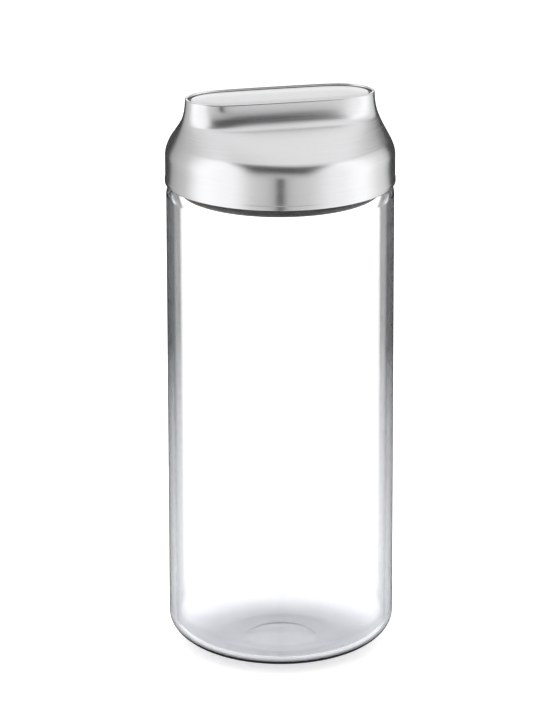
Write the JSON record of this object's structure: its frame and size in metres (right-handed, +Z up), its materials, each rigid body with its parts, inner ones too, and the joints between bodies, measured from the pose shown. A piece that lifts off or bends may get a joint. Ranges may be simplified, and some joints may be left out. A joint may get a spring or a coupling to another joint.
{
  "type": "lidded glass canister",
  "caption": "Tall clear glass storage jar with a push-in brushed steel lid that rises from a round skirt into an oval grip.",
  "frame": {"origin": "middle of the flat foot ring, on the surface the jar stands on", "axes": "+Z up along the jar's axis, X along the grip's long way, Y across the grip"},
  "size_m": [0.1064, 0.1064, 0.266],
  "materials": {
    "borosilicate_glass": "clear, fire polished",
    "brushed_steel": "satin brushed",
    "dark_plastic": "fine moulded satin",
    "silicone": "matte",
    "adhesive_pad": "foam tape"
  },
  "bodies": {
    "jar": {"glass_jar": "borosilicate_glass"},
    "seal": {"seal_ring": "silicone"},
    "lid": {"lid_shell": "brushed_steel", "grip_tray": "brushed_steel", "tray_pad": "adhesive_pad", "grip_core": "dark_plastic", "inner_lid": "dark_plastic"}
  },
  "joints": [
    {"name": "lid_lift", "type": "slide", "parent": "jar", "child": "seal", "axis": [0, 0, 1], "range_m": [0, 0.15]},
    {"name": "lid_turn", "type": "hinge", "parent": "seal", "child": "lid", "pos_m": [0, 0, 0.232], "axis": [0, 0, 1], "continuous": true}
  ]
}
